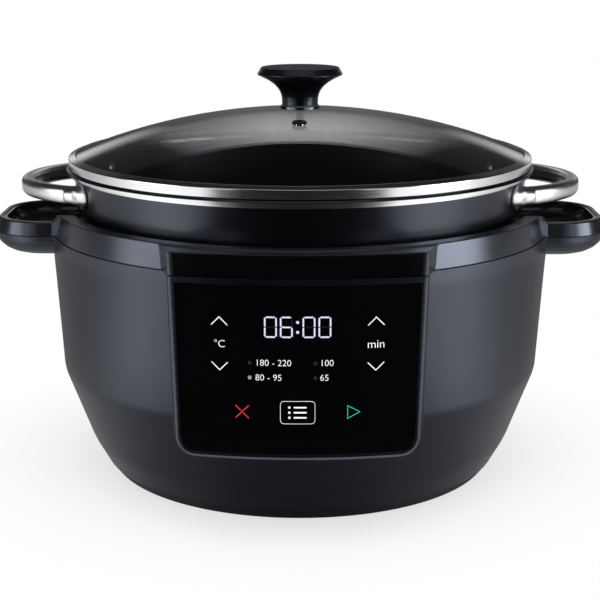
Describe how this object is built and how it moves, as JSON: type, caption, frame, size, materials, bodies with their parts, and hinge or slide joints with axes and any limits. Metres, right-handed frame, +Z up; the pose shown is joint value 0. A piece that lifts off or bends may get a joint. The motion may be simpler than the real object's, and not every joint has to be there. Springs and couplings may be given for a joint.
{
  "type": "multicooker",
  "caption": "Countertop multicooker: heated base with side grips and a touch panel, lift-out pot with loop handles, and a loose domed glass lid with a knob.",
  "frame": {"origin": "on the table, under the vertical axis of the pot, within 3 mm of the middle of the outline", "axes": "+Z up; -Y towards the person who faces the control panel; +X to that person's right, through the right-hand grip"},
  "size_m": [0.397, 0.3288, 0.2624],
  "materials": {
    "housing_plastic": "satin charcoal",
    "collar_plastic": "satin charcoal, a shade lighter than the housing",
    "gloss_black": "polished black",
    "panel_black": "polished black with white markings",
    "clear_glass": "clear tempered glass",
    "steel_satin": "fine satin",
    "steel_polished": "polished",
    "pot_coating": "dark non-stick coating, bare bright rim",
    "knob_plastic": "smooth black",
    "silicone": "matt",
    "liner_steel": "plain sheet",
    "plate_aluminium": "turned",
    "screw_steel": "zinc plated",
    "cover_plastic": "fine matt grain",
    "board_green": "solder mask",
    "inner_dark": "moulded",
    "inner_pale": "moulded",
    "pin_brass": "plain",
    "lead_cover": "plain"
  },
  "bodies": {
    "base": {"outer_housing": "housing_plastic", "collar_ring": "collar_plastic", "grip_dish_left": "gloss_black", "grip_dish_right": "gloss_black", "fascia_strip": "gloss_black", "panel_lens": "panel_black", "display_module": "inner_pale", "control_board": "board_green", "touch_pads": "inner_dark", "control_screws": "screw_steel", "inner_liner": "liner_steel", "liner_screws": "screw_steel", "heating_plate": "plate_aluminium", "heating_element": "liner_steel", "heater_brackets": "liner_steel", "heater_screws": "screw_steel", "sensor_guide": "inner_pale", "sensor_spring": "liner_steel", "thermal_cutout": "inner_dark", "power_board": "board_green", "power_components": "inner_dark", "board_screws": "screw_steel", "inlet_shell": "cover_plastic", "inlet_pins": "pin_brass", "base_cover": "cover_plastic", "cover_screws": "screw_steel", "feet": "silicone", "inner_leads": "lead_cover", "inlet_leads": "lead_cover", "panel_ribbon": "inner_pale"},
    "sensor": {"sensor_plunger": "plate_aluminium"},
    "pot": {"cooking_pot": "pot_coating", "pot_handle_left": "steel_polished", "pot_handle_right": "steel_polished", "pot_rivets": "steel_polished"},
    "lid": {"lid_glass": "clear_glass", "lid_rim": "steel_satin", "lid_knob": "knob_plastic", "knob_ring": "steel_satin", "knob_screw": "screw_steel", "knob_washer": "silicone", "vent_eyelet": "silicone"}
  },
  "joints": [
    {"name": "pot_lift", "type": "slide", "parent": "base", "child": "pot", "axis": [0, 0, 1], "range_m": [0, 0.16]},
    {"name": "lid_lift", "type": "slide", "parent": "pot", "child": "lid", "axis": [0, 0, 1], "range_m": [0, 0.12]},
    {"name": "sensor_press", "type": "slide", "parent": "base", "child": "sensor", "axis": [0, 0, 1], "range_m": [-0.003, 0], "stiffness_N_per_m": 400, "springref_m": 0.005, "deforming": ["sensor_spring"]}
  ]
}
